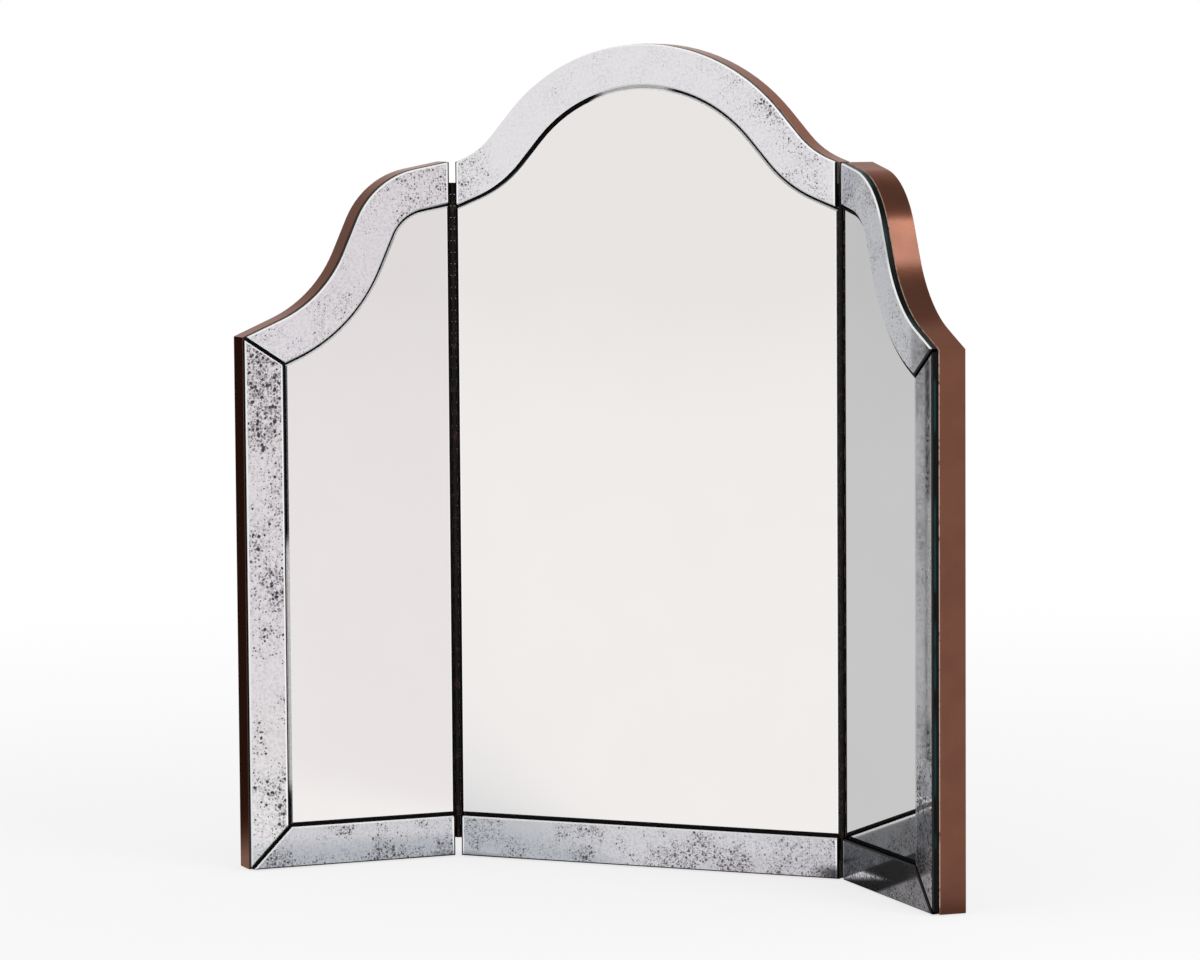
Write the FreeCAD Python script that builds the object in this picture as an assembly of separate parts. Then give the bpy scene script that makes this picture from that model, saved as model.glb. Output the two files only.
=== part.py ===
import FreeCAD, Part
import math
import os

# Trifold vanity mirror: a centre panel and two wings, joined by full-length piano hinges.
# Frame: +Z up, +X to the right of someone facing the mirror, -Y towards that person.
# Origin: on the table, under the middle of the centre panel's width and board thickness.
# Every panel is drawn flat, with u along its width, d its depth behind the glass's front
# plane and z its height. A wing's u starts at its hinge pin. The wings are then folded
# about their pins to the rest pose. Lengths are in millimetres and angles in degrees.

# ---- Driving dimensions: outline of the centre panel ----
CENTRE_WIDTH = 381.0
CENTRE_HEIGHT = 762.0
SHOULDER_HEIGHT = 654.0
CROWN_RADIUS = 177.0
CROWN_CLEARANCE = 3.0
CENTRE_COVE_INSET = 25.0
CENTRE_COVE_RISE = 10.0
CENTRE_COVE_RADIUS = 76.0

# ---- Driving dimensions: outline of a wing ----
WING_WIDTH = 203.2
WING_OUTER_HEIGHT = 495.3
WING_BROW_REACH = 75.0
WING_BROW_DROP = 14.0
WING_BROW_RADIUS = 79.0
WING_COVE_INSET = 79.0
WING_COVE_RISE = 34.0
WING_COVE_RADIUS = 118.0

# ---- Driving dimensions: the stack from front to back ----
STRIP_GLASS = 6.0
MIRROR_GLASS = 3.0
MASTIC_THICKNESS = 0.8
BOARD_THICKNESS = 22.4
COVER_THICKNESS = 3.0
BAND_THICKNESS = 1.5

# ---- Driving dimensions: glass ----
STRIP_WIDTH = 37.8
JOINT_GAP = 2.6
MITRE_GAP = 3.6
GLASS_SETBACK = 0.3
STRIP_ARRIS = 1.3
MIRROR_ARRIS = 1.5

# ---- Driving dimensions: hinges ----
HINGE_GAP = 6.8
PIN_DEPTH = 2.2
HINGE_BOTTOM_INSET = 17.0
HINGE_TOP_INSET = 19.5
KNUCKLE_RADIUS = 2.2
KNUCKLE_PITCH = 10.65
KNUCKLE_END_PLAY = 0.2
PIN_RADIUS = 1.0
PIN_CLEARANCE = 0.07
LEAF_THICKNESS = 1.8
LEAF_WIDTH = 26.0
LEAF_RELIEF = 0.2
LEAF_SCREW_PITCH = 75.0
LEAF_SCREW_LENGTH = 16.0

# ---- Driving dimensions: fasteners, adhesive and felt ----
SCREW_SHANK_RADIUS = 1.25
SCREW_HEAD_RADIUS = 2.4
SCREW_CLEARANCE = 0.05
SCREW_SLOT_WIDTH = 0.6
SCREW_SLOT_DEPTH = 0.7
COVER_SCREW_LENGTH = 14.0
COVER_SCREW_INSET = 16.0
DAB_RADIUS = 11.0
DAB_PITCH = 80.0
FELT_THICKNESS = 1.0
FELT_WIDTH = 12.0
FELT_END_INSET = 14.0
BAND_ARRIS = 0.6
GLUE_LINE = 0.1
COVER_CLEARANCE = 0.3

# ---- Rest pose ----
WING_FOLD = 46.5

# ---- How far apart two points may lie and still be the same place ----
SAME_PLACE = 1e-6

# ---- Worked out from the driving dimensions ----
HALF_WIDTH = CENTRE_WIDTH / 2
HALF_GAP = HINGE_GAP / 2
PIN_X = HALF_WIDTH + HALF_GAP
PANEL_FOOT = FELT_THICKNESS
BOARD_FRONT = STRIP_GLASS + MASTIC_THICKNESS
MIRROR_FRONT = STRIP_GLASS - MIRROR_GLASS
BOARD_BACK = BOARD_FRONT + BOARD_THICKNESS
PANEL_BACK = BOARD_BACK + COVER_THICKNESS
BOARD_MIDDLE = (BOARD_FRONT + PANEL_BACK) / 2
BORDER = STRIP_WIDTH + JOINT_GAP
SCREW_HEAD_HEIGHT = SCREW_HEAD_RADIUS - SCREW_SHANK_RADIUS
HINGE_FOOT = PANEL_FOOT + HINGE_BOTTOM_INSET
HINGE_HEAD = SHOULDER_HEIGHT - HINGE_TOP_INSET
KNUCKLE_COUNT = int((HINGE_HEAD - HINGE_FOOT) / KNUCKLE_PITCH)
LEAF_INNER = HALF_GAP - LEAF_THICKNESS
LEAF_START = math.sqrt(max(0.0, (KNUCKLE_RADIUS + LEAF_RELIEF) ** 2 - LEAF_INNER ** 2))
STRAIGHT_LEFT = GLASS_SETBACK + 2 * STRIP_ARRIS
ACROSS = FreeCAD.Vector(1, 0, 0)
BACKWARD = FreeCAD.Vector(0, 1, 0)
UP = FreeCAD.Vector(0, 0, 1)


# ---- Plane geometry of an outline: points and directions are (u, z) pairs ----

def meet(line_a, line_b):
    """The point where two lines cross. A line is (point, direction)."""
    (au, az), (du, dz) = line_a
    (bu, bz), (eu, ez) = line_b
    along = ((bu - au) * ez - (bz - az) * eu) / (du * ez - dz * eu)
    return au + du * along, az + dz * along


def line_through(start, end):
    """The line from start towards end, with a direction of unit length."""
    du = end[0] - start[0]
    dz = end[1] - start[1]
    length = math.hypot(du, dz)
    return (start[0], start[1]), (du / length, dz / length)


def beside(line, distance):
    """The line moved to its left by distance."""
    (u, z), (du, dz) = line
    return (u - dz * distance, z + du * distance), (du, dz)


def sides_of(outline):
    """The lines along an outline's sides. Side i runs from corner i to the next one."""
    count = len(outline)
    return [line_through(outline[i], outline[(i + 1) % count]) for i in range(count)]


def turns_left(before, after):
    """True where an outline turns left, which is outwards when it runs anticlockwise."""
    return before[1][0] * after[1][1] - before[1][1] * after[1][0] > 0


def inset_outline(outline, insets):
    """An anticlockwise outline with side i moved inwards by insets[i], and its rounded
    corners kept concentric."""
    moved = [beside(side, inset) for side, inset in zip(sides_of(outline), insets)]
    result = []
    for i, corner in enumerate(outline):
        before = moved[i - 1]
        after = moved[i]
        u, z = meet(before, after)
        radius = corner[2]
        if radius > 0:
            radius += -insets[i] if turns_left(before, after) else insets[i]
        result.append((u, z, radius))
    return result


def tangent_length(corner_before, corner, corner_after):
    """How far a rounded corner's arc starts from the corner, for a radius of 1."""
    (_, (au, az)) = line_through(corner, corner_before)
    (_, (bu, bz)) = line_through(corner, corner_after)
    cosine = max(-1.0, min(1.0, au * bu + az * bz))
    return 1 / math.tan(math.acos(cosine) / 2)


def spot(u, d, z):
    """A point of a panel's own space."""
    return FreeCAD.Vector(u, d, z)


def rounded_wire(outline, depth):
    """A closed wire of straight sides and tangent arcs, in the plane at depth."""
    edges = []
    starts = []
    ends = []
    arcs = []
    count = len(outline)
    for i, (u, z, radius) in enumerate(outline):
        before = outline[i - 1]
        after = outline[(i + 1) % count]
        reach = radius * tangent_length(before, outline[i], after) if radius > 0 else 0
        _, (au, az) = line_through(outline[i], before)
        _, (bu, bz) = line_through(outline[i], after)
        first = (u + au * reach, z + az * reach)
        last = (u + bu * reach, z + bz * reach)
        starts.append(first)
        ends.append(last)
        if radius > 0:
            bisector = math.hypot(au + bu, az + bz)
            to_middle = math.hypot(reach, radius) - radius
            middle = (u + (au + bu) / bisector * to_middle, z + (az + bz) / bisector * to_middle)
            arcs.append(middle)
        else:
            arcs.append(None)
    for i in range(count):
        if arcs[i]:
            points = [spot(p[0], depth, p[1]) for p in (starts[i], arcs[i], ends[i])]
            edges.append(Part.Arc(*points).toShape())
        next_start = starts[(i + 1) % count]
        if math.dist(ends[i], next_start) > SAME_PLACE:
            edges.append(Part.makeLine(spot(ends[i][0], depth, ends[i][1]),
                                       spot(next_start[0], depth, next_start[1])))
    return Part.Wire(edges)


def slab(outline, front, back):
    """The solid between two depths inside an outline."""
    return Part.Face(rounded_wire(outline, front)).extrude(BACKWARD * (back - front))


def break_edges(solid, depth, size):
    """The solid with every edge that lies in the plane at depth chamfered."""
    edges = [edge for edge in solid.Edges
             if all(abs(vertex.Point.y - depth) < SAME_PLACE for vertex in edge.Vertexes)
             and abs(edge.CenterOfMass.y - depth) < SAME_PLACE]
    return solid.makeChamfer(size, edges)


# ---- Outlines ----

def centre_outline():
    """Corners (u, z, radius) of the centre panel, anticlockwise from the bottom left. The
    coves lie outside the crown's circle, so that a line from each can touch it."""
    cove_z = SHOULDER_HEIGHT + CENTRE_COVE_RISE
    crown_centre_z = CENTRE_HEIGHT - CROWN_RADIUS
    crown_half_width = math.sqrt(max(0.0, CROWN_RADIUS ** 2 - (cove_z - crown_centre_z) ** 2))
    cove_u = max(HALF_WIDTH - CENTRE_COVE_INSET, crown_half_width + CROWN_CLEARANCE)
    reach = math.hypot(cove_u, cove_z - crown_centre_z)
    bearing = math.atan2(cove_z - crown_centre_z, cove_u)
    touch = bearing + math.acos(CROWN_RADIUS / reach)
    apex_z = crown_centre_z + CROWN_RADIUS / math.sin(touch)
    shoulder = (HALF_WIDTH, SHOULDER_HEIGHT)
    cove = (cove_u, cove_z)
    apex = (0.0, apex_z)
    flank = math.dist(cove, apex) - CROWN_RADIUS * tangent_length((-cove_u, cove_z), apex, cove)
    room = min(math.dist(shoulder, cove), flank) - STRAIGHT_LEFT
    cove_radius = min(CENTRE_COVE_RADIUS, room / tangent_length(shoulder, cove, apex))
    return [
        (-HALF_WIDTH, PANEL_FOOT, 0),
        (HALF_WIDTH, PANEL_FOOT, 0),
        (HALF_WIDTH, SHOULDER_HEIGHT, 0),
        (cove_u, cove_z, cove_radius),
        (0.0, apex_z, CROWN_RADIUS),
        (-cove_u, cove_z, cove_radius),
        (-HALF_WIDTH, SHOULDER_HEIGHT, 0),
    ]


def wing_outline():
    """Corners (u, z, radius) of the right wing, anticlockwise from the hinge's foot."""
    hinge_u = HALF_GAP
    outer_u = HALF_GAP + WING_WIDTH
    outer_top = (outer_u, WING_OUTER_HEIGHT)
    cove = (outer_u - WING_COVE_INSET, WING_OUTER_HEIGHT + WING_COVE_RISE)
    brow = (hinge_u + WING_BROW_REACH, SHOULDER_HEIGHT - WING_BROW_DROP)
    hinge_top = (hinge_u, SHOULDER_HEIGHT)
    cove_tangent = tangent_length(outer_top, cove, brow)
    brow_tangent = tangent_length(cove, brow, hinge_top)
    steep = math.dist(cove, brow)
    share = steep / (WING_COVE_RADIUS * cove_tangent + WING_BROW_RADIUS * brow_tangent)
    cove_room = min(share * WING_COVE_RADIUS, math.dist(outer_top, cove) / cove_tangent)
    brow_room = min(share * WING_BROW_RADIUS, math.dist(brow, hinge_top) / brow_tangent)
    return [
        (hinge_u, PANEL_FOOT, 0),
        (outer_u, PANEL_FOOT, 0),
        (outer_top[0], outer_top[1], 0),
        (cove[0], cove[1], min(WING_COVE_RADIUS, cove_room)),
        (brow[0], brow[1], min(WING_BROW_RADIUS, brow_room)),
        (hinge_top[0], hinge_top[1], 0),
    ]


def centre_panel():
    """The centre panel: its outline, and which of the outline's sides are which."""
    return {
        "outline": centre_outline(),
        "bottom": [0],
        "outer": [],
        "top": [2, 3, 4, 5],
        "hinge": [1, 6],
    }


def wing_panel():
    """The right wing: its outline, and which of the outline's sides are which."""
    return {
        "outline": wing_outline(),
        "bottom": [0],
        "outer": [1],
        "top": [2, 3, 4],
        "hinge": [5],
    }


CENTRE = centre_panel()
WING = wing_panel()


def panel_inset(panel, outside, at_hinge):
    """A panel's outline moved inwards: outside on its free sides, at_hinge on the others."""
    insets = [at_hinge if i in panel["hinge"] else outside
              for i in range(len(panel["outline"]))]
    return inset_outline(panel["outline"], insets)


# ---- Glass ----

def strip_outline(panel, sides, start_cut, end_cut):
    """The outline of one border strip, along some sides and between two cutting lines."""
    outer = panel_inset(panel, GLASS_SETBACK, GLASS_SETBACK)
    inner = panel_inset(panel, STRIP_WIDTH, GLASS_SETBACK)
    paths = []
    for path in (outer, inner):
        lines = sides_of(path)
        corners = [path[i] for i in sides[1:]]
        first = meet(start_cut, lines[sides[0]])
        last = meet(end_cut, lines[sides[-1]])
        paths.append([(first[0], first[1], 0)] + corners + [(last[0], last[1], 0)])
    return paths[0] + paths[1][::-1]


def hinge_cut(panel, side):
    """The line where the glass ends beside a hinge."""
    return sides_of(panel_inset(panel, 0, GLASS_SETBACK))[side]


def mitre_cut(panel, corner, towards_left):
    """One edge of the open joint that runs from an outer corner to an inner one."""
    outer = panel["outline"][corner]
    inner = panel_inset(panel, BORDER, GLASS_SETBACK)[corner]
    shift = MITRE_GAP / 2 if towards_left else -MITRE_GAP / 2
    return beside(line_through(outer, inner), shift)


def strip(outline):
    """A border strip of thick glass with its front arrises ground off."""
    return break_edges(slab(outline, 0, STRIP_GLASS), 0, STRIP_ARRIS)


def clear_mirror(panel):
    """The panel's plain mirror, lower than the border strips round it."""
    outline = panel_inset(panel, BORDER, GLASS_SETBACK)
    return break_edges(slab(outline, MIRROR_FRONT, STRIP_GLASS), MIRROR_FRONT, MIRROR_ARRIS)


def centre_strips():
    """Outlines of the centre panel's border strips, by name."""
    right = hinge_cut(CENTRE, CENTRE["hinge"][0])
    left = hinge_cut(CENTRE, CENTRE["hinge"][1])
    return {
        "top_strip": strip_outline(CENTRE, CENTRE["top"], right, left),
        "bottom_strip": strip_outline(CENTRE, CENTRE["bottom"], left, right),
    }


def wing_strips():
    """Outlines of a wing's border strips, by name."""
    hinge = hinge_cut(WING, WING["hinge"][0])
    low_corner = WING["outer"][0]
    high_corner = WING["top"][0]
    return {
        "top_strip": strip_outline(WING, WING["top"], mitre_cut(WING, high_corner, False), hinge),
        "side_strip": strip_outline(WING, WING["outer"], mitre_cut(WING, low_corner, False),
                                    mitre_cut(WING, high_corner, True)),
        "bottom_strip": strip_outline(WING, WING["bottom"], hinge,
                                      mitre_cut(WING, low_corner, True)),
    }


# ---- Mastic between the glass and the board ----

def dabs(points):
    """Round dabs of mastic at (u, z) points, as one group of solids."""
    return [Part.makeCylinder(DAB_RADIUS, MASTIC_THICKNESS, spot(u, STRIP_GLASS, z), BACKWARD)
            for u, z in points]


def spread(low, high, pitch, margin):
    """Evenly spaced places between two limits, at most pitch apart."""
    first = low + margin
    last = high - margin
    steps = max(1, math.ceil((last - first) / pitch))
    return [first + (last - first) * i / steps for i in range(steps + 1)]


def mastic(panel):
    """Dabs along the middle of each border strip and in columns behind the plain mirror."""
    middle = panel_inset(panel, STRIP_WIDTH / 2, GLASS_SETBACK)
    wire = rounded_wire(middle, 0)
    margin = STRIP_WIDTH / 2
    height = min(corner[1] for corner in panel["outline"][2:])
    u_low = min(corner[0] for corner in panel["outline"]) + margin
    u_high = max(corner[0] for corner in panel["outline"]) - margin
    foot_z = middle[0][1]
    points = [(u, foot_z) for u in spread(u_low, u_high, DAB_PITCH, margin)]
    if panel["outer"]:
        outer_u = middle[panel["outer"][0]][0]
        points += [(outer_u, z) for z in spread(foot_z, height - margin, DAB_PITCH, 2 * margin)]
    for u in spread(u_low, u_high, DAB_PITCH, margin):
        upright = Part.makeLine(spot(u, 0, height / 2), spot(u, 0, 2 * CENTRE_HEIGHT))
        crossing = wire.distToShape(upright)[1][0][0]
        points.append((u, crossing.z))
    column_low = u_low + BORDER
    column_high = u_high - (BORDER if panel["outer"] else BORDER / 2)
    for u in spread(column_low, column_high, 2 * DAB_PITCH, 0):
        for z in spread(foot_z, height - margin, 2 * DAB_PITCH, BORDER + margin):
            points.append((u, z))
    return dabs(points)


# ---- Screws ----

def countersunk(tip_length, radius_extra, head_point, direction):
    """A countersunk screw's body of revolution, its flat head at head_point."""
    head_radius = SCREW_HEAD_RADIUS + radius_extra
    shank_radius = SCREW_SHANK_RADIUS + radius_extra
    profile = [
        (0, 0),
        (head_radius, 0),
        (shank_radius, head_radius - shank_radius),
        (shank_radius, tip_length - shank_radius),
        (0, tip_length),
    ]
    points = [FreeCAD.Vector(r, 0, z) for r, z in profile]
    face = Part.Face(Part.makePolygon(points + points[:1]))
    body = face.revolve(FreeCAD.Vector(0, 0, 0), UP, 360)
    body.Placement = FreeCAD.Placement(head_point, FreeCAD.Rotation(UP, direction))
    return body


def screw(length, head_point, direction):
    """A countersunk screw with a cross recess."""
    body = countersunk(length, 0, head_point, direction)
    reach = SCREW_HEAD_RADIUS * 1.2
    for turn in (0, 90):
        cutter = Part.makeBox(reach, SCREW_SLOT_WIDTH, SCREW_SLOT_DEPTH,
                              FreeCAD.Vector(-reach / 2, -SCREW_SLOT_WIDTH / 2, 0))
        cutter.rotate(FreeCAD.Vector(0, 0, 0), UP, turn)
        cutter.Placement = FreeCAD.Placement(
            head_point, FreeCAD.Rotation(UP, direction)).multiply(cutter.Placement)
        body = body.cut(cutter)
    return body


def cut_screw_holes(shape, length, places):
    """The shape with a countersunk hole at each (head point, direction)."""
    for head_point, direction in places:
        shape = shape.cut(countersunk(length + SCREW_CLEARANCE, SCREW_CLEARANCE,
                                      head_point, direction))
    return shape


def cover_screw_places(panel):
    """Where the back cover is screwed to the board: head points and directions."""
    corners = panel_inset(panel, COVER_SCREW_INSET, COVER_SCREW_INSET)
    u_low = min(corner[0] for corner in corners)
    u_high = max(corner[0] for corner in corners)
    left_top = corners[-1][1] if corners[-1][2] == 0 else corners[2][1]
    right_top = corners[2][1]
    foot = corners[0][1]
    places = []
    for u, top in ((u_low, left_top), (u_high, right_top)):
        for z in (foot, (foot + top) / 2, top):
            places.append((spot(u, PANEL_BACK, z), BACKWARD * -1))
    return places


def leaf_screw_places(edge_u, direction):
    """Where a hinge leaf on the side face at edge_u is screwed to the board."""
    depth = (BOARD_FRONT + LEAF_WIDTH + PIN_DEPTH) / 2
    face_u = edge_u - direction.x * LEAF_THICKNESS
    return [(spot(face_u, depth, z), direction)
            for z in spread(HINGE_FOOT, HINGE_HEAD, LEAF_SCREW_PITCH, 2 * KNUCKLE_PITCH)]


# ---- Board, edge band and back cover ----

def edge_band(panel, leaf_places):
    """The finished band round the board's edge, from the glass to the panel's back."""
    outer = slab(panel["outline"], BOARD_FRONT, PANEL_BACK)
    outer = break_edges(outer, BOARD_FRONT, BAND_ARRIS)
    outer = break_edges(outer, PANEL_BACK, BAND_ARRIS)
    inner = slab(panel_inset(panel, BAND_THICKNESS, BAND_THICKNESS), BOARD_FRONT, PANEL_BACK)
    return cut_screw_holes(outer.cut(inner), LEAF_SCREW_LENGTH, leaf_places)


def board(panel, leaf_places, cover_places):
    """The core that carries the glass, the hinges and the cover."""
    inset = BAND_THICKNESS + GLUE_LINE
    core = slab(panel_inset(panel, inset, inset), BOARD_FRONT, BOARD_BACK)
    core = cut_screw_holes(core, LEAF_SCREW_LENGTH, leaf_places)
    return cut_screw_holes(core, COVER_SCREW_LENGTH, cover_places)


def back_cover(panel, cover_places):
    """The thin sheet let into the band behind the board."""
    inset = BAND_THICKNESS + COVER_CLEARANCE
    sheet = slab(panel_inset(panel, inset, inset), BOARD_BACK, PANEL_BACK)
    return cut_screw_holes(sheet, COVER_SCREW_LENGTH, cover_places)


def felt_strip(u_low, u_high):
    """The felt strip glued under a panel's board."""
    return Part.makeBox(u_high - u_low - 2 * FELT_END_INSET, FELT_WIDTH, FELT_THICKNESS,
                        spot(u_low + FELT_END_INSET, BOARD_MIDDLE - FELT_WIDTH / 2, 0))


# ---- Hinge: drawn with its pin on the origin's vertical, the leaf on the +u side ----

def knuckle_spans(odd):
    """The heights that one leaf's knuckles fill: every other place along the pin."""
    pitch = (HINGE_HEAD - HINGE_FOOT) / KNUCKLE_COUNT
    first = 1 if odd else 0
    return [(HINGE_FOOT + pitch * i + KNUCKLE_END_PLAY / 2,
             HINGE_FOOT + pitch * (i + 1) - KNUCKLE_END_PLAY / 2)
            for i in range(first, KNUCKLE_COUNT, 2)]


def hinge_leaf(odd):
    """A leaf plate against the side face at u = HALF_GAP, with its knuckles on the pin. Its
    front corner clears the other leaf's knuckles by LEAF_RELIEF."""
    plate = Part.makeBox(LEAF_THICKNESS, LEAF_WIDTH - LEAF_START, HINGE_HEAD - HINGE_FOOT,
                         spot(LEAF_INNER, LEAF_START, HINGE_FOOT))
    pieces = []
    neck_u = min(LEAF_INNER, KNUCKLE_RADIUS - LEAF_THICKNESS)
    bore_radius = PIN_RADIUS + PIN_CLEARANCE
    for low, high in knuckle_spans(odd):
        barrel = Part.makeCylinder(KNUCKLE_RADIUS, high - low, spot(0, 0, low), UP)
        neck = Part.makeBox(HALF_GAP - neck_u, LEAF_START, high - low, spot(neck_u, 0, low))
        bore = Part.makeCylinder(bore_radius, high - low, spot(0, 0, low), UP)
        pieces.append(barrel.fuse(neck).cut(bore))
    return plate.fuse(pieces).removeSplitter()


def hinge_pin():
    """The pin through all the knuckles, its ends slightly rounded off."""
    pin = Part.makeCylinder(PIN_RADIUS, HINGE_HEAD - HINGE_FOOT, spot(0, 0, HINGE_FOOT), UP)
    ends = [edge for edge in pin.Edges if isinstance(edge.Curve, Part.Circle)]
    return pin.makeChamfer(PIN_RADIUS / 4, ends)


# ---- Placing the pieces ----

def flipped(shape):
    """The shape mirrored left to right about its own u = 0 plane."""
    return shape.mirror(FreeCAD.Vector(0, 0, 0), ACROSS)


def place_centre(shape):
    """From the centre panel's own space to the assembly."""
    placed = shape.copy()
    placed.translate(FreeCAD.Vector(0, -BOARD_MIDDLE, 0))
    return placed


def place_wing(shape, side):
    """From a wing's own space, folded about its pin: side is 1 for right and -1 for left."""
    placed = shape.copy() if side > 0 else flipped(shape)
    placed.rotate(spot(0, PIN_DEPTH, 0), UP, -side * WING_FOLD)
    placed.translate(FreeCAD.Vector(side * PIN_X, -BOARD_MIDDLE, 0))
    return placed


def place_on_pin(shape, side):
    """From the hinge's own space to a wing's: the pin lies behind the strips' front."""
    placed = shape.copy()
    placed.translate(FreeCAD.Vector(0, PIN_DEPTH, 0))
    return place_wing(placed, side)


def place_fixed_leaf(shape, side):
    """A leaf drawn for the +u side, put on the centre panel's right or left side face."""
    placed = flipped(shape) if side > 0 else shape.copy()
    placed.translate(FreeCAD.Vector(side * PIN_X, PIN_DEPTH - BOARD_MIDDLE, 0))
    return placed


def save(name, shapes):
    """Writes one node: a single solid, or a group of separate ones."""
    group = shapes if isinstance(shapes, list) else [shapes]
    shape = group[0] if len(group) == 1 else Part.makeCompound(group)
    assert shape.isValid(), name
    shape.exportStep("parts/" + name + ".step")
    print(name, len(shape.Solids), "solids", round(shape.Volume), "mm3")


def make_centre():
    """Writes the centre panel's nodes."""
    cover_places = cover_screw_places(CENTRE)
    leaf_places = (leaf_screw_places(HALF_WIDTH, ACROSS * -1)
                   + leaf_screw_places(-HALF_WIDTH, ACROSS))
    save("centre_board", place_centre(board(CENTRE, leaf_places, cover_places)))
    save("centre_edge_band", place_centre(edge_band(CENTRE, leaf_places)))
    save("centre_back_cover", place_centre(back_cover(CENTRE, cover_places)))
    save("centre_clear_mirror", place_centre(clear_mirror(CENTRE)))
    for name, outline in centre_strips().items():
        save("centre_" + name, place_centre(strip(outline)))
    save("centre_mastic_dabs", [place_centre(dab) for dab in mastic(CENTRE)])
    save("centre_cover_screws", [place_centre(screw(COVER_SCREW_LENGTH, point, way))
                                 for point, way in cover_places])
    save("centre_felt_strip", place_centre(felt_strip(-HALF_WIDTH, HALF_WIDTH)))


def make_wing(label, side):
    """Writes one wing's nodes."""
    cover_places = cover_screw_places(WING)
    leaf_places = leaf_screw_places(HALF_GAP, ACROSS)
    save(label + "_board", place_wing(board(WING, leaf_places, cover_places), side))
    save(label + "_edge_band", place_wing(edge_band(WING, leaf_places), side))
    save(label + "_back_cover", place_wing(back_cover(WING, cover_places), side))
    save(label + "_clear_mirror", place_wing(clear_mirror(WING), side))
    for name, outline in wing_strips().items():
        save(label + "_" + name, place_wing(strip(outline), side))
    save(label + "_mastic_dabs", [place_wing(dab, side) for dab in mastic(WING)])
    save(label + "_cover_screws", [place_wing(screw(COVER_SCREW_LENGTH, point, way), side)
                                   for point, way in cover_places])
    save(label + "_felt_strip", place_wing(felt_strip(HALF_GAP, HALF_GAP + WING_WIDTH), side))


def make_hinge(label, side):
    """Writes one hinge's nodes: two leaves, the pin and each leaf's screws."""
    leaf_places = leaf_screw_places(HALF_GAP, ACROSS)
    to_pin = FreeCAD.Vector(0, -PIN_DEPTH, 0)
    at_pin = [(point + to_pin, way) for point, way in leaf_places]
    fixed_leaf = cut_screw_holes(hinge_leaf(False), LEAF_SCREW_LENGTH, at_pin)
    wing_leaf = cut_screw_holes(hinge_leaf(True), LEAF_SCREW_LENGTH, at_pin)
    screws = [screw(LEAF_SCREW_LENGTH, point, way) for point, way in at_pin]
    save(label + "_fixed_leaf", place_fixed_leaf(fixed_leaf, side))
    save(label + "_wing_leaf", place_on_pin(wing_leaf, side))
    save(label + "_pin", place_fixed_leaf(hinge_pin(), side))
    save(label + "_fixed_leaf_screws", [place_fixed_leaf(one, side) for one in screws])
    save(label + "_wing_leaf_screws", [place_on_pin(one, side) for one in screws])


os.makedirs("parts", exist_ok=True)
make_centre()
for wing_label, hinge_label, wing_side in (("left_wing", "left_hinge", -1),
                                           ("right_wing", "right_hinge", 1)):
    make_wing(wing_label, wing_side)
    make_hinge(hinge_label, wing_side)
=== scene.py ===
import math

import bmesh
import bpy
from mathutils import Matrix, Vector, noise


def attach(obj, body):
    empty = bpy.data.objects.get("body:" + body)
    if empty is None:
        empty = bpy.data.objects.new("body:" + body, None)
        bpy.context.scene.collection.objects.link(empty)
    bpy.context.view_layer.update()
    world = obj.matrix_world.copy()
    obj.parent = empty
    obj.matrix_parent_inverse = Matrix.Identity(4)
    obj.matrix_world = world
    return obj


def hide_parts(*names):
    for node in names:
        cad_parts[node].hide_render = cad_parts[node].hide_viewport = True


bl_info = {
    "name": "Trifold Vanity Mirror",
    "version": (1, 0, 0),
    "blender": (4, 5, 0),
    "location": "3D View > Sidebar > Vanity Mirror",
    "description": "Finishes the glass, edges, hinges and felt of a trifold vanity mirror",
    "category": "Object",
}

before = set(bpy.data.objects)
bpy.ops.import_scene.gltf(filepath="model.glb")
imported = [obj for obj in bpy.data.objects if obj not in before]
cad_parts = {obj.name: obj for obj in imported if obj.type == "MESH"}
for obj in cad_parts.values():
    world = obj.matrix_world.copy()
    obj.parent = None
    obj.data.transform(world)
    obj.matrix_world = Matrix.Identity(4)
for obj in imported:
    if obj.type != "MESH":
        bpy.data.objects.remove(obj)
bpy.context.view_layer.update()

MM = 0.001
HINGES = ("left_hinge", "right_hinge")
STRIP_GLASS = 6 * MM
STRIP_ARRIS = 1.3 * MM
MIRROR_ARRIS = 1.5 * MM
CROWN_MIDDLE = (0, 0, 0.585)
WING_FOLD = math.radians(46.5)
UP = Vector((0, 0, 1))
RIGHT = Vector((1, 0, 0))
INWARD = Vector((0, 1, 0))


# ---- Where the panels stand ----

def span(node, direction):
    """The lowest and highest place of a node along a direction."""
    places = [vertex.co.dot(direction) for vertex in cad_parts[node].data.vertices]
    return min(places), max(places)


class Panel:
    """A panel at rest: its directions, the front of its glass, the sides it is hung at, and
    how strong the painted light is on its glass's cut edges and the painted highlight along its
    band's front arris."""

    def __init__(self, name, turn, hinge_sides, painted_edge_light):
        self.name = name
        self.painted_edge_light = painted_edge_light
        self.across = Vector((math.cos(turn), math.sin(turn), 0))
        self.back = Vector((-math.sin(turn), math.cos(turn), 0))
        self.front = span(name + "_top_strip", self.back)[0]
        self.hinge_sides = [self.across * side for side in hinge_sides]


PANELS = {
    "centre": Panel("centre", 0, (1, -1), 0.5),
    "left_wing": Panel("left_wing", WING_FOLD, (1,), 0.15),
    "right_wing": Panel("right_wing", -WING_FOLD, (-1,), 1.0),
}


# ---- Writing a finish as arithmetic ----

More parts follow.
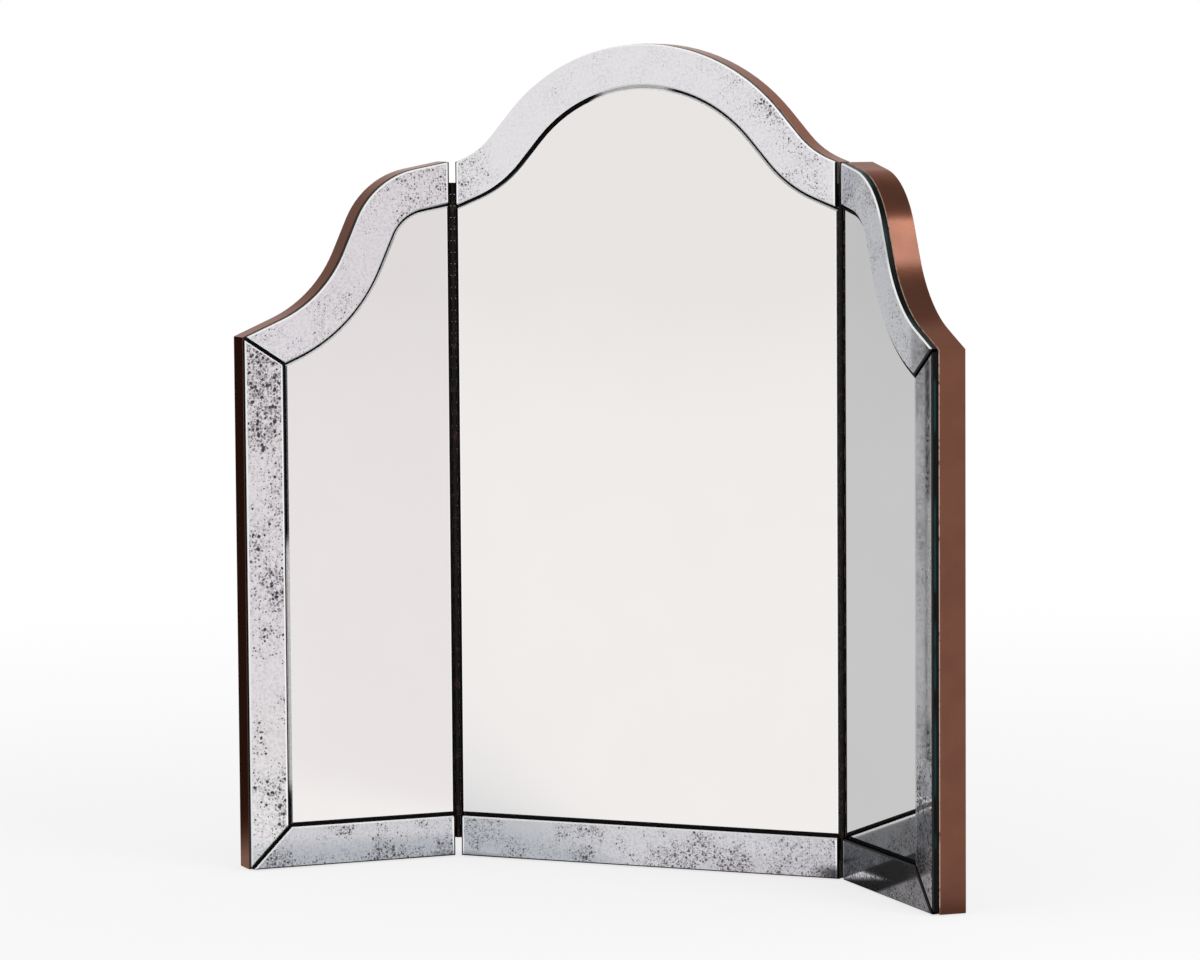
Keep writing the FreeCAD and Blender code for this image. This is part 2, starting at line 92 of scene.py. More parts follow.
class Signal:
    """A value that varies over a surface. Arithmetic on it adds Math nodes to its recipe."""

    def __init__(self, recipe, socket):
        self.recipe = recipe
        self.socket = socket

    def combine(self, operation, first, second):
        return self.recipe.node("ShaderNodeMath", {"operation": operation}, {0: first, 1: second})

    def __add__(self, other):
        return self.combine("ADD", self, other)

    def __radd__(self, other):
        return self.combine("ADD", other, self)

    def __sub__(self, other):
        return self.combine("SUBTRACT", self, other)

    def __rsub__(self, other):
        return self.combine("SUBTRACT", other, self)

    def __mul__(self, other):
        return self.combine("MULTIPLY", self, other)

    def __rmul__(self, other):
        return self.combine("MULTIPLY", other, self)

    def __abs__(self):
        return self.recipe.node("ShaderNodeMath", {"operation": "ABSOLUTE"}, {0: self})

    def at_most(self, other):
        return self.combine("MINIMUM", self, other)

    def at_least(self, other):
        return self.combine("MAXIMUM", self, other)


class Recipe:
    """A node tree that is built up from values: a finish, the floor's or the sky's."""

    def __init__(self, tree):
        self.tree = tree
        tree.nodes.clear()
        self.kept = {}

    def node(self, kind, settings=None, sockets=None, output=0):
        """Adds a node: first its settings, then the values or links of its sockets."""
        made = self.tree.nodes.new(kind)
        for setting, value in (settings or {}).items():
            setattr(made, setting, value)
        for socket, value in (sockets or {}).items():
            target = made.inputs[socket]
            if isinstance(value, Signal):
                self.tree.links.new(value.socket, target)
            elif target.type == "RGBA":
                target.default_value = (*value[:3], 1.0)
            else:
                target.default_value = value
        return Signal(self, made.outputs[output]) if made.outputs else None

    def source(self, kind, output):
        """An output of a node that takes nothing in. It is added once."""
        if (kind, output) not in self.kept:
            self.kept[kind, output] = self.node(kind, output=output)
        return self.kept[kind, output]

    def place(self):
        """The point of the piece at rest, in metres."""
        return self.source("ShaderNodeTexCoord", "Object")

    def facing(self, direction):
        """How squarely the surface faces a direction: 1 when it does, 0 at right angles."""
        normal = self.source("ShaderNodeTexCoord", "Normal")
        return self.along(normal, direction)

    def along(self, vector, direction):
        """How far a vector reaches along a direction."""
        return self.node("ShaderNodeVectorMath", {"operation": "DOT_PRODUCT"},
                         {0: vector, 1: tuple(direction)}, "Value")

    def rise(self, value, low, high):
        """0 below low and 1 above high, with a smooth rise between them."""
        return self.node("ShaderNodeMapRange", {"interpolation_type": "SMOOTHSTEP"},
                         {"Value": value, "From Min": low, "From Max": high})

    def vector(self, operation, first, second):
        """A vector worked out from two vectors."""
        return self.node("ShaderNodeVectorMath", {"operation": operation},
                         {0: first, 1: second}, "Vector")

    def length(self, vector):
        """A vector's length."""
        return self.node("ShaderNodeVectorMath", {"operation": "LENGTH"}, {0: vector}, "Value")

    def wobbled(self, size, reach):
        """The point moved about by up to reach, in waves that measure about size."""
        waves = self.node("ShaderNodeTexNoise", None,
                          {"Vector": self.place(), "Scale": 1 / size, "Detail": 1.0}, "Color")
        moved = self.vector("SUBTRACT", waves, (0.5, 0.5, 0.5))
        return self.vector("ADD", self.place(), self.tint(moved, 4 * reach))

    def cloud(self, size, detail=2.0, distortion=0.0, roughness=0.5):
        """Random values round 0.5 in blots that measure about size."""
        return self.node("ShaderNodeTexNoise", None,
                         {"Vector": self.place(), "Scale": 1 / size, "Detail": detail,
                          "Roughness": roughness, "Distortion": distortion})

    def mix(self, share, first, second):
        """The colour that is first where share is 0 and second where it is 1."""
        return self.node("ShaderNodeMix", {"data_type": "RGBA"}, {0: share, 6: first, 7: second}, 2)

    def tint(self, colour, strength):
        """A colour made lighter or darker by a strength."""
        return self.node("ShaderNodeVectorMath", {"operation": "SCALE"},
                         {0: colour, "Scale": strength})

    def bump(self, height, depth):
        """The surface's direction when height, from 0 to 1, stands up to depth metres high."""
        return self.node("ShaderNodeBump", None, {"Height": height, "Distance": depth})

    def surface(self, sockets):
        """Ends a finish with its shader."""
        shader = self.node("ShaderNodeBsdfPrincipled", None, sockets)
        self.node("ShaderNodeOutputMaterial", None, {"Surface": shader})


def new_finish(name):
    """A new material, and the recipe for it."""
    material = bpy.data.materials.new(name)
    material.use_nodes = True
    return material, Recipe(material.node_tree)


def give(material, *nodes):
    """Puts a finish on nodes of the model."""
    for node in nodes:
        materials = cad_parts[node].data.materials
        materials.clear()
        materials.append(material)


# ---- Settings ----

def colour_setting(name, description, default):
    return bpy.props.FloatVectorProperty(name=name, description=description, default=default,
                                         subtype="COLOR", min=0, max=1)


def share_setting(name, description, default):
    return bpy.props.FloatProperty(name=name, description=description, default=default,
                                   subtype="FACTOR", min=0, max=1)


def length_setting(name, description, default):
    return bpy.props.FloatProperty(name=name, description=description, default=default,
                                   subtype="DISTANCE", unit="LENGTH", min=0)


def angle_setting(name, description, default):
    return bpy.props.FloatProperty(name=name, description=description,
                                   default=math.radians(default), subtype="ANGLE",
                                   unit="ROTATION")


def group_setting(group, name, description):
    return bpy.props.PointerProperty(type=group, name=name, description=description)


class StripSettings(bpy.types.PropertyGroup):
    """How one kind of border strip is antiqued."""
    silver: colour_setting("Silver", "Colour of the sound silvering", (0.84, 0.82, 0.845))
    cover: share_setting("Cover", "How much of the silvering is eaten away", 0.38)
    clump: length_setting("Clump", "Size of the larger dark spots", 3.0 * MM)
    depth: share_setting("Depth", "How dark the spots are", 0.92)


class GlassSettings(bpy.types.PropertyGroup):
    """Mirror glass: the plain sheets and what all glass has in common."""
    silver: colour_setting("Silver", "Colour of the plain mirrors", (0.88, 0.85, 0.838))
    # Painted highlight: the white of the ground arrises stands in for their reflection of the
    # bright studio.
    arris: colour_setting("Arris", "Colour of the ground arrises", (0.93, 0.93, 0.93))
    bare: colour_setting("Bare spots", "Colour where the silvering is gone",
                         (0.036, 0.025, 0.036))
    edge: colour_setting("Cut edge", "Colour of the glass's cut edges", (0.003, 0.004, 0.004))
    # Painted glint: a teal light colour painted along the middle of the glass's cut edges.
    painted_edge_glint: colour_setting("Edge glow", "Light that the cut edges pass on",
                              (0.006, 0.035, 0.036))
    top: group_setting(StripSettings, "Top strips", "Antiquing of the curved top strips")
    side: group_setting(StripSettings, "Side strips", "Antiquing of the wings' side strips")
    bottom: group_setting(StripSettings, "Bottom strips", "Antiquing of the bottom strips")


class CaseSettings(bpy.types.PropertyGroup):
    """Boards, their edge bands and their back covers."""
    copper: colour_setting("Copper", "Colour of the edge bands", (0.185, 0.068, 0.038))
    umber: colour_setting("Umber", "Colour that the bands' lacquer darkens to",
                          (0.10, 0.035, 0.021))
    grazing: colour_setting("Grazing tint", "Colour of the bands' shine at a low angle",
                            (0.74, 0.42, 0.33))
    # Painted shade: the near-black colour of the band faces inside the hinge gaps and of the left
    # wing's front arris.
    painted_shade: colour_setting("Hinge sides", "Colour of the edges that face each other at a hinge",
                         (0.004, 0.0035, 0.0035))
    # Painted highlight: the pale colour painted along the bands' front arris, in rubbed-looking
    # patches.
    cream_highlight: colour_setting("Rubbed arris", "Colour where the lacquer is rubbed through",
                          (0.62, 0.42, 0.33))
    board: colour_setting("Board", "Colour of the sealed boards", (0.006, 0.006, 0.006))
    # Painted highlight: the pale colour painted on joints, and on the boards behind them, where the
    # joints show bright.
    painted_joint_highlight: colour_setting("Bedding", "Colour of the glass's bedding compound",
                            (0.85, 0.84, 0.82))
    cover: colour_setting("Back cover", "Colour of the hardboard covers", (0.035, 0.024, 0.02))


class MetalSettings(bpy.types.PropertyGroup):
    """Hinges and screws."""
    bronze: colour_setting("Bronze", "Colour of the plated hinges", (0.010, 0.0065, 0.006))
    worn: colour_setting("Worn bronze", "Colour where the plating is rubbed",
                         (0.040, 0.018, 0.015))


class SoftSettings(bpy.types.PropertyGroup):
    """Felt and mastic."""
    felt: colour_setting("Felt", "Colour of the felt strips", (0.03, 0.022, 0.02))
    mastic: colour_setting("Mastic", "Colour of the mirror mastic", (0.05, 0.045, 0.04))


class StageSettings(bpy.types.PropertyGroup):
    """Camera, floor and light."""
    camera: bpy.props.FloatVectorProperty(
        name="Camera", description="Where the camera stands", subtype="TRANSLATION",
        unit="LENGTH", default=(1.77128, -4.16295, 0.73764))
    yaw: angle_setting("Yaw", "How far the camera is turned to the left", 23.666)
    pitch: angle_setting("Pitch", "How far the camera looks up", -4.768)
    roll: angle_setting("Roll", "How far the camera leans to the left", -0.41)
    lens: bpy.props.FloatProperty(name="Lens", description="Focal length", default=147.22,
                                  subtype="DISTANCE_CAMERA", unit="CAMERA", min=1)
    floor: colour_setting("Floor", "Colour of the floor", (0.86, 0.86, 0.86))
    key: bpy.props.FloatProperty(name="Key light", description="Power of the softbox",
                                 default=18, unit="POWER", min=0)
    fill: bpy.props.FloatProperty(name="Fill light", description="Power of the fill light",
                                  default=8, unit="POWER", min=0)
    sky: share_setting("Sky", "Light that comes from all round", 0.72)


class MirrorSettings(bpy.types.PropertyGroup):
    """All settings of the vanity mirror."""
    glass: group_setting(GlassSettings, "Glass", "Plain mirrors and border strips")
    case: group_setting(CaseSettings, "Case", "Boards, edge bands and back covers")
    metal: group_setting(MetalSettings, "Metal", "Hinges and screws")
    soft: group_setting(SoftSettings, "Soft parts", "Felt and mastic")
    stage: group_setting(StageSettings, "Stage", "Camera, floor and light")


# ---- Glass ----

# Where the edges of the glass are painted white or pale as painted highlights, or painted dark
# beside the hinges and, as painted shade, on the arch's left shoulder. Each pair is the start
# and the end of a smooth change, in metres.
MARGIN_BLUR = 0.2 * MM
BRIGHT_BESIDE_MIRROR = 0.8 * MM
BRIGHT_BESIDE_STRIP = 1.8 * MM
DARK_BESIDE_STRIP = 0.4 * MM
STREAK_WIDTH = (0.4 * MM, 1.5 * MM)
ARCH_HIGHLIGHT_MIDDLE = -10 * MM
ARCH_HIGHLIGHT_REACH = (28 * MM, 42 * MM)
ARCH_HIGHLIGHT_HEIGHT = (0.68, 0.69)
SIDE_HIGHLIGHT_MIDDLE = 0.19
SIDE_HIGHLIGHT_REACH = (0.105, 0.125)
SIDE_HIGHLIGHT_WIDTH = (4 * MM, 5 * MM)
DARK_SHOULDER_START = (-0.17, -0.11)
DARK_SHOULDER_END = (-0.056, -0.046)
DARK_SHOULDER_HEIGHT = (0.62, 0.63)
# The share of an arris's painted highlight that is left where it is painted as catching no
# light, as painted shade.
DULL = 0.03


def hinge_margin(recipe, node, panel, width):
    """1 within a width of the glass's edges beside the hinges, and 0 elsewhere."""
    total = 0
    for side in panel.hinge_sides:
        inside = span(node, side)[1] - recipe.along(recipe.place(), side)
        total = total + (1 - recipe.rise(inside, width - MARGIN_BLUR, width + MARGIN_BLUR))
    return total


def painted_joint_highlight(recipe, panel):
    """Where a joint is painted pale as a painted highlight: at the top of the arch and along the
    lower part of the left wing's side joint."""
    place = recipe.place()
    if panel.name == "centre":
        off_top = abs(recipe.along(place, RIGHT) - ARCH_HIGHLIGHT_MIDDLE)
        above = recipe.rise(recipe.along(place, UP), *ARCH_HIGHLIGHT_HEIGHT)
        return (1 - recipe.rise(off_top, *ARCH_HIGHLIGHT_REACH)) * above
    if panel.name == "left_wing":
        joint = span(panel.name + "_clear_mirror", panel.across)[0]
        off_joint = abs(recipe.along(place, panel.across) - joint)
        off_middle = abs(recipe.along(place, UP) - SIDE_HIGHLIGHT_MIDDLE)
        near = 1 - recipe.rise(off_joint, *SIDE_HIGHLIGHT_WIDTH)
        return (1 - recipe.rise(off_middle, *SIDE_HIGHLIGHT_REACH)) * near
    return 0


def painted_shoulder_shade(recipe):
    """1 along the arch's left shoulder, where the plain mirror's arris is painted dark as painted
    shade.
    """
    sideways = recipe.along(recipe.place(), RIGHT)
    shoulder = recipe.rise(sideways, *DARK_SHOULDER_START)
    shoulder = shoulder * (1 - recipe.rise(sideways, *DARK_SHOULDER_END))
    return shoulder * recipe.rise(recipe.along(recipe.place(), UP), *DARK_SHOULDER_HEIGHT)


def cut_edge(recipe, panel, glass, pale):
    """The dark cut edge, with a broken painted streak of light half way through the glass, and
    painted pale as a painted highlight where a joint shows bright.
    """
    depth = recipe.along(recipe.place(), panel.back) - (panel.front + STRIP_GLASS / 2)
    streak = 1 - recipe.rise(abs(depth), *STREAK_WIDTH)
    broken = recipe.rise(recipe.cloud(45 * MM, 1), 0.48, 0.62)
    plain = recipe.mix(streak * broken * panel.painted_edge_light, glass.edge, glass.painted_edge_glint)
    return recipe.mix(pale, plain, glass.arris)


def painted_arris_highlight(recipe, panel, kind):
    """How far a sheet's ground arris is painted white as a painted highlight, the rest being
    painted shade. On the right wing only the outer edge of the top strip and the side strip's
    lower mitre are painted lit, and on every panel the bottom strip's lower arris is painted dark."""
    if panel.name == "right_wing":
        painted_bright = {"top_strip": UP, "side_strip": -UP}
        if kind in painted_bright:
            return recipe.rise(recipe.facing(painted_bright[kind]), 0.15, 0.35) * (1 - DULL) + DULL
        return DULL
    if kind == "bottom_strip":
        return 1 - recipe.rise(recipe.facing(-UP), 0.3, 0.5) * (1 - DULL)
    return 1.0


def glass_surface(recipe, panel, glass, kind, face, roughness):
    """Ends the finish of a sheet of mirror glass from its face's colour and roughness. Beside
    a hinge it is painted white along the edge as a painted highlight, and a strip is painted
    dark at the very edge."""
    node = panel.name + "_" + kind
    facing = recipe.facing(-panel.back)
    arris = 1 - recipe.rise(facing, 0.85, 0.95)
    edge = 1 - recipe.rise(facing, 0.3, 0.5)
    wide, dark = MIRROR_ARRIS + BRIGHT_BESIDE_MIRROR, 0
    if kind != "clear_mirror":
        wide = STRIP_ARRIS + BRIGHT_BESIDE_STRIP
        dark = hinge_margin(recipe, node, panel, STRIP_ARRIS + DARK_BESIDE_STRIP)
    elif panel.name == "centre":
        # Painted shade: on the centre the plain mirror's arris is painted dark along the arch's
        # left shoulder.
        dark = painted_shoulder_shade(recipe) * arris
    # Painted highlight: beside a hinge the glass is painted white along its edge.
    painted_bright = hinge_margin(recipe, node, panel, wide)
    # Painted highlight on the arrises: white, dimmed where painted as shade, and non-metallic where
    # an arris faces up, so the white shows as painted light.
    shine = recipe.tint(glass.arris, painted_arris_highlight(recipe, panel, kind))
    matt = arris * recipe.rise(recipe.facing(UP), 0.1, 0.4)
    front = recipe.mix(arris, recipe.mix(painted_bright, face, (1, 1, 1)), shine)
    front = recipe.mix(dark, front, glass.edge)
    sides = cut_edge(recipe, panel, glass, painted_joint_highlight(recipe, panel))
    recipe.surface({
        "Base Color": recipe.mix(edge, front, sides),
        "Metallic": (1 - matt.at_least(edge)) * (1 - dark),
        "Roughness": roughness.at_least(arris.at_least(painted_bright * 0.3) * 0.35),
        "Specular IOR Level": 0.08,
    })


def clear_glass(panel, glass):
    """The finish of a plain mirror, with a faint haze."""
    material, recipe = new_finish(panel.name + "_clear_glass")
    haze = recipe.cloud(70 * MM, 2)
    face = recipe.tint(glass.silver, 0.985 + 0.03 * haze)
    glass_surface(recipe, panel, glass, "clear_mirror", face, 0.004 + 0.012 * haze)
    return material


def spots(recipe, size, share):
    """Round, slightly ragged spots in a share of the cells that measure about size, larger
    and run together where the share is high."""
    cells = {"Vector": recipe.wobbled(size * 0.8, size * 0.14), "Scale": 1 / size}
    away = recipe.node("ShaderNodeTexVoronoi", None, cells, "Distance")
    chance = recipe.node("ShaderNodeTexVoronoi", None, cells, "Color")
    lot = recipe.node("ShaderNodeSeparateColor", None, {"Color": chance}, "Red")
    radius = (share - lot + 0.25).at_least(0).at_most(1) * 0.55
    return 1 - recipe.rise(away - radius, -0.14, 0.07)


def antiqued_glass(panel, glass, kind, strip, crowd):
    """The finish of a border strip, whose silvering is spotted and clouded."""
    material, recipe = new_finish(panel.name + "_" + kind + "_glass")
    patches = recipe.rise(recipe.cloud(30 * MM, 2), 0.40, 0.62)
    crowding = (strip.cover * (0.4 + 0.9 * patches) + crowd(recipe)).at_least(0).at_most(1)
    bold = spots(recipe, strip.clump, crowding * 1.05 - 0.10)
    pepper = spots(recipe, strip.clump * 0.6, crowding * 1.1 + 0.05)
    smoke = recipe.rise(recipe.cloud(strip.clump * 0.8, 3), 0.38, 0.72) * (0.10 + 0.35 * crowding)
    eaten = bold.at_least(pepper * 0.75).at_least(smoke) * strip.depth
    face = recipe.mix(eaten, strip.silver, glass.bare)
    glass_surface(recipe, panel, glass, kind, face, 0.03 + 0.22 * eaten)
    return material


def bloom(direction, places, everywhere=0):
    """More spots everywhere by one amount, and round some places along a direction, given
    as (middle, reach, strength)."""
    def crowd(recipe):
        position = recipe.along(recipe.place(), direction)
        total = everywhere
        for middle, reach, strength in places:
            total = total + (1 - recipe.rise(abs(position - middle), 0, reach)) * strength
        return total
    return crowd


SIDE_BLOOM = bloom(UP, [(0.46, 0.12, 0.65), (0.27, 0.08, 0.40), (0.05, 0.08, 0.25)])
TOP_BLOOM = bloom(UP, [(0.64, 0.07, 0.30)])
ARCH_SIDES = bloom(RIGHT, [(0.135, 0.075, 0.8), (-0.185, 0.055, 0.45)])


def arch_bloom(recipe):
    """More spots along the arch's right outer rim and at its left foot, none at its top."""
    from_middle = recipe.vector("SUBTRACT", recipe.place(), CROWN_MIDDLE)
    flat = recipe.vector("MULTIPLY", from_middle, (1, 0, 1))
    rim = recipe.rise(recipe.length(flat), 0.140, 0.180)
    return ARCH_SIDES(recipe) * (0.25 + 0.75 * rim) - 0.28


BOTTOM_BLOOM = bloom(UP, [(0.004, 0.014, 0.30)])
OTHER_BLOOMS = {
    "centre_top_strip": arch_bloom,
    "centre_bottom_strip": bloom(RIGHT, [(0.16, 0.09, 0.35), (-0.14, 0.09, -0.25)]),
    "right_wing_side_strip": bloom(UP, [(0.06, 0.15, 0.85)], -0.24),
    "right_wing_bottom_strip": bloom(UP, [(0.004, 0.014, 0.30)], 0.22),
}


class VANITY_OT_clear_glass(bpy.types.Operator):
    """Silver the plain mirrors"""
    bl_idname = "vanity.clear_glass"
    bl_label = "Clear mirrors"

    def execute(self, context):
        for name, panel in PANELS.items():
            give(clear_glass(panel, context.scene.vanity.glass), name + "_clear_mirror")
        return {"FINISHED"}


class VANITY_OT_antiqued_glass(bpy.types.Operator):
    """Antique the border strips"""
    bl_idname = "vanity.antiqued_glass"
    bl_label = "Antiqued strips"

    def execute(self, context):
        glass = context.scene.vanity.glass
        kinds = {
            "top_strip": (glass.top, TOP_BLOOM),
            "side_strip": (glass.side, SIDE_BLOOM),
            "bottom_strip": (glass.bottom, BOTTOM_BLOOM),
        }
        for name, panel in PANELS.items():
            for kind, (strip, crowd) in kinds.items():
                node = name + "_" + kind
                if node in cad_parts:
                    crowd = OTHER_BLOOMS.get(node, crowd)
                    give(antiqued_glass(panel, glass, kind, strip, crowd), node)
        return {"FINISHED"}


# ---- Boards, edge bands and back covers ----

BAND_ROUNDING = 0.35 * MM


def copper_lacquer(panel, case):
    """Satin copper-bronze lacquer, softly mottled, with a pale painted highlight along the front
    arris in rubbed-looking patches, and painted shade on the faces inside the hinge gaps and on
    the left wing's front arris.
    """
    material, recipe = new_finish(panel.name + "_copper_lacquer")
    mottle = recipe.cloud(34 * MM, 2)
    grain = recipe.cloud(2.2 * MM, 3)
    dark = recipe.rise(mottle, 0.40, 0.75) * 0.30 + recipe.rise(grain, 0.5, 0.75) * 0.15
    coat = recipe.mix(dark, case.copper, case.umber)
    front = recipe.rise(recipe.facing(-panel.back), 0.4, 0.6)
    worn = recipe.rise(recipe.cloud(6 * MM, 2), 0.25, 0.5)
    # Painted highlight along the front arris, in rubbed-looking patches, as strong as the panel's
    # painted edge light.
    rubbed = front * worn * panel.painted_edge_light
    # Painted shade on the band faces inside the hinge gaps, and on the left wing's front arris.
    painted_shade = sum(recipe.rise(recipe.facing(side), 0.9, 0.99) for side in panel.hinge_sides)
    if panel.name == "left_wing":
        painted_shade = painted_shade.at_least(front * 0.7)
    recipe.surface({
        "Base Color": recipe.mix(painted_shade, recipe.mix(rubbed, coat, case.cream_highlight), case.painted_shade),
        "Metallic": (0.96 - 0.4 * rubbed) * (1 - painted_shade),
        "Roughness": 0.24 + 0.10 * mottle + 0.3 * painted_shade,
        "Specular IOR Level": 0.2,
        "Specular Tint": case.grazing,
        "Coat Weight": (1 - painted_shade) * 0.4,
        "Coat Roughness": 0.16,
        "Normal": recipe.bump(grain, 0.03 * MM),
    })
    return material


def softened(node, reach):
    """A copy of a node's mesh with its sharp edges rounded over by reach."""
    mesh = bmesh.new()
    mesh.from_mesh(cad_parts[node].data)
    bmesh.ops.remove_doubles(mesh, verts=mesh.verts, dist=0.001 * MM)
    bmesh.ops.dissolve_limit(mesh, angle_limit=math.radians(0.5), verts=mesh.verts,
                             edges=mesh.edges)
    sharp = [edge for edge in mesh.edges
             if edge.is_manifold and edge.calc_face_angle() > math.radians(30)]
    bmesh.ops.bevel(mesh, geom=sharp, offset=reach, segments=2, profile=0.5,
                    affect="EDGES", clamp_overlap=True)
    for face in mesh.faces:
        face.smooth = True
    data = bpy.data.meshes.new(node + "_rounded")
    mesh.to_mesh(data)
    mesh.free()
    return data


class VANITY_OT_edge_bands(bpy.types.Operator):
    """Round over and lacquer the edge bands"""
    bl_idname = "vanity.edge_bands"
    bl_label = "Edge bands"

    def execute(self, context):
        for name, panel in PANELS.items():
            node = name + "_edge_band"
            piece = bpy.data.objects.new(name + "_band", softened(node, BAND_ROUNDING))
            context.scene.collection.objects.link(piece)
            piece.modifiers.new("even", "WEIGHTED_NORMAL").weight = 100
            graph = context.evaluated_depsgraph_get()
            even = bpy.data.meshes.new_from_object(piece.evaluated_get(graph))
            piece.modifiers.clear()
            piece.data = even
            even.materials.clear()
            even.materials.append(copper_lacquer(panel, context.scene.vanity.case))
            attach(piece, name)
            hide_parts(node)
        return {"FINISHED"}


class VANITY_OT_boards(bpy.types.Operator):
    """Seal the boards"""
    bl_idname = "vanity.boards"
    bl_label = "Boards"

    def execute(self, context):
        case = context.scene.vanity.case
        for name, panel in PANELS.items():
            material, recipe = new_finish(name + "_sealed_board")
            fibre = recipe.cloud(1.6 * MM, 4)
            sealed = recipe.tint(case.board, 0.8 + 0.4 * fibre)
            recipe.surface({
                # The board is painted pale as a painted highlight where a joint shows bright.
                "Base Color": recipe.mix(painted_joint_highlight(recipe, panel), sealed, case.painted_joint_highlight),
                "Roughness": 0.62 + 0.2 * fibre,
                "Specular IOR Level": 0.2,
                "Normal": recipe.bump(fibre, 0.05 * MM),
            })
            give(material, name + "_board")
        return {"FINISHED"}


class VANITY_OT_back_covers(bpy.types.Operator):
    """Finish the hardboard back covers"""
    bl_idname = "vanity.back_covers"
    bl_label = "Back covers"

    def execute(self, context):
        material, recipe = new_finish("hardboard")
        fibre = recipe.cloud(1.2 * MM, 5, 0.6)
        flow = recipe.cloud(60 * MM, 3, 0.8)
        fleck = recipe.rise(recipe.cloud(3.5 * MM, 2, 1.5), 0.60, 0.72)
        tone = 0.75 + 0.35 * fibre + 0.3 * flow + 0.5 * fleck
        recipe.surface({
            "Base Color": recipe.tint(context.scene.vanity.case.cover, tone),
            "Roughness": 0.52 + 0.25 * fibre,
            "Specular IOR Level": 0.35,
            "Normal": recipe.bump(fibre, 0.08 * MM),
        })
        give(material, *[name + "_back_cover" for name in PANELS])
        return {"FINISHED"}


# ---- Hinges and screws ----

def plated(name, metal, wear):
    """Dark bronze plate over steel, rubbed here and there."""
    material, recipe = new_finish(name)
    blotch = recipe.cloud(7 * MM, 3, 0.5)
    scratch = recipe.cloud(0.9 * MM, 3)
    rubbed = recipe.rise(blotch + 0.25 * scratch, 0.80 - wear, 0.92 - wear)
    recipe.surface({
        "Base Color": recipe.mix(rubbed, metal.bronze, metal.worn),
        "Metallic": 0.8,
        "Roughness": 0.50 - 0.08 * rubbed + 0.1 * scratch,
        "Normal": recipe.bump(scratch, 0.02 * MM),
    })
    return material


class VANITY_OT_hinges(bpy.types.Operator):
    """Plate the hinge leaves and pins"""
    bl_idname = "vanity.hinges"
    bl_label = "Hinges"

    def execute(self, context):
        metal = context.scene.vanity.metal
        leaves = plated("hinge_plate", metal, 0.12)
        pins = plated("pin_plate", metal, 0.22)
        for hinge in HINGES:
            give(leaves, hinge + "_fixed_leaf", hinge + "_wing_leaf")
            give(pins, hinge + "_pin")
        return {"FINISHED"}


class VANITY_OT_screws(bpy.types.Operator):
    """Plate the screws"""
    bl_idname = "vanity.screws"
    bl_label = "Screws"

    def execute(self, context):
        material = plated("screw_plate", context.scene.vanity.metal, 0.18)
        give(material, *[name + "_cover_screws" for name in PANELS])
        for hinge in HINGES:
            give(material, hinge + "_fixed_leaf_screws", hinge + "_wing_leaf_screws")
        return {"FINISHED"}


# ---- Mastic and felt ----

class VANITY_OT_mastic(bpy.types.Operator):
    """Finish the dabs of mirror mastic"""
    bl_idname = "vanity.mastic"
    bl_label = "Mastic"

    def execute(self, context):
        material, recipe = new_finish("mastic")
        ripple = recipe.cloud(3 * MM, 3, 1.2)
        recipe.surface({
            "Base Color": recipe.tint(context.scene.vanity.soft.mastic, 0.8 + 0.4 * ripple),
            "Roughness": 0.45 + 0.2 * ripple,
            "Normal": recipe.bump(ripple, 0.1 * MM),
        })
        give(material, *[name + "_mastic_dabs" for name in PANELS])
        return {"FINISHED"}


FELT_CORNER = 0.35 * MM
FELT_CORNER_STEPS = 3
FELT_ROW = 1.5 * MM
FRAY = 0.06
FRAY_WAVES = 900


def felt_section(half_width, thickness, corner, steps):
    """Points round a felt strip's section: a rectangle with rounded corners."""
    points = []
    middles = [(half_width - corner, corner, -90), (half_width - corner, thickness - corner, 0),
               (-half_width + corner, thickness - corner, 90), (-half_width + corner, corner, 180)]
    for across, height, start in middles:
        for step in range(steps + 1):
            angle = math.radians(start + 90 * step / steps)
            points.append((across + corner * math.cos(angle), height + corner * math.sin(angle)))
    return points


def felt_mesh(panel, node):
    """A felt strip with soft, slightly uneven edges, inside the space of its node."""
    low, high = span(node, panel.across)
    near, far = span(node, panel.back)
    bottom, top = span(node, UP)
    section = felt_section((far - near) / 2, top - bottom, FELT_CORNER, FELT_CORNER_STEPS)
    rows = round((high - low) / FELT_ROW)
    mesh = bmesh.new()
    rings = []
    for row in range(rows + 1):
        along = low + (high - low) * row / rows
        ring = []
        for depth, height in section:
            wave = noise.noise(Vector((along, depth, height)) * FRAY_WAVES)
            inset = depth * (1 - FRAY * abs(wave))
            point = panel.across * along + panel.back * ((near + far) / 2 + inset)
            ring.append(mesh.verts.new(point + UP * (bottom + height)))
        rings.append(ring)
    count = len(section)
    for ring, following in zip(rings, rings[1:]):
        for i in range(count):
            after = (i + 1) % count
            mesh.faces.new((ring[i], ring[after], following[after], following[i]))
    mesh.faces.new(rings[0][::-1])
    mesh.faces.new(rings[-1])
    bmesh.ops.recalc_face_normals(mesh, faces=mesh.faces)
    data = bpy.data.meshes.new(panel.name + "_felt")
    mesh.to_mesh(data)
    mesh.free()
    return data


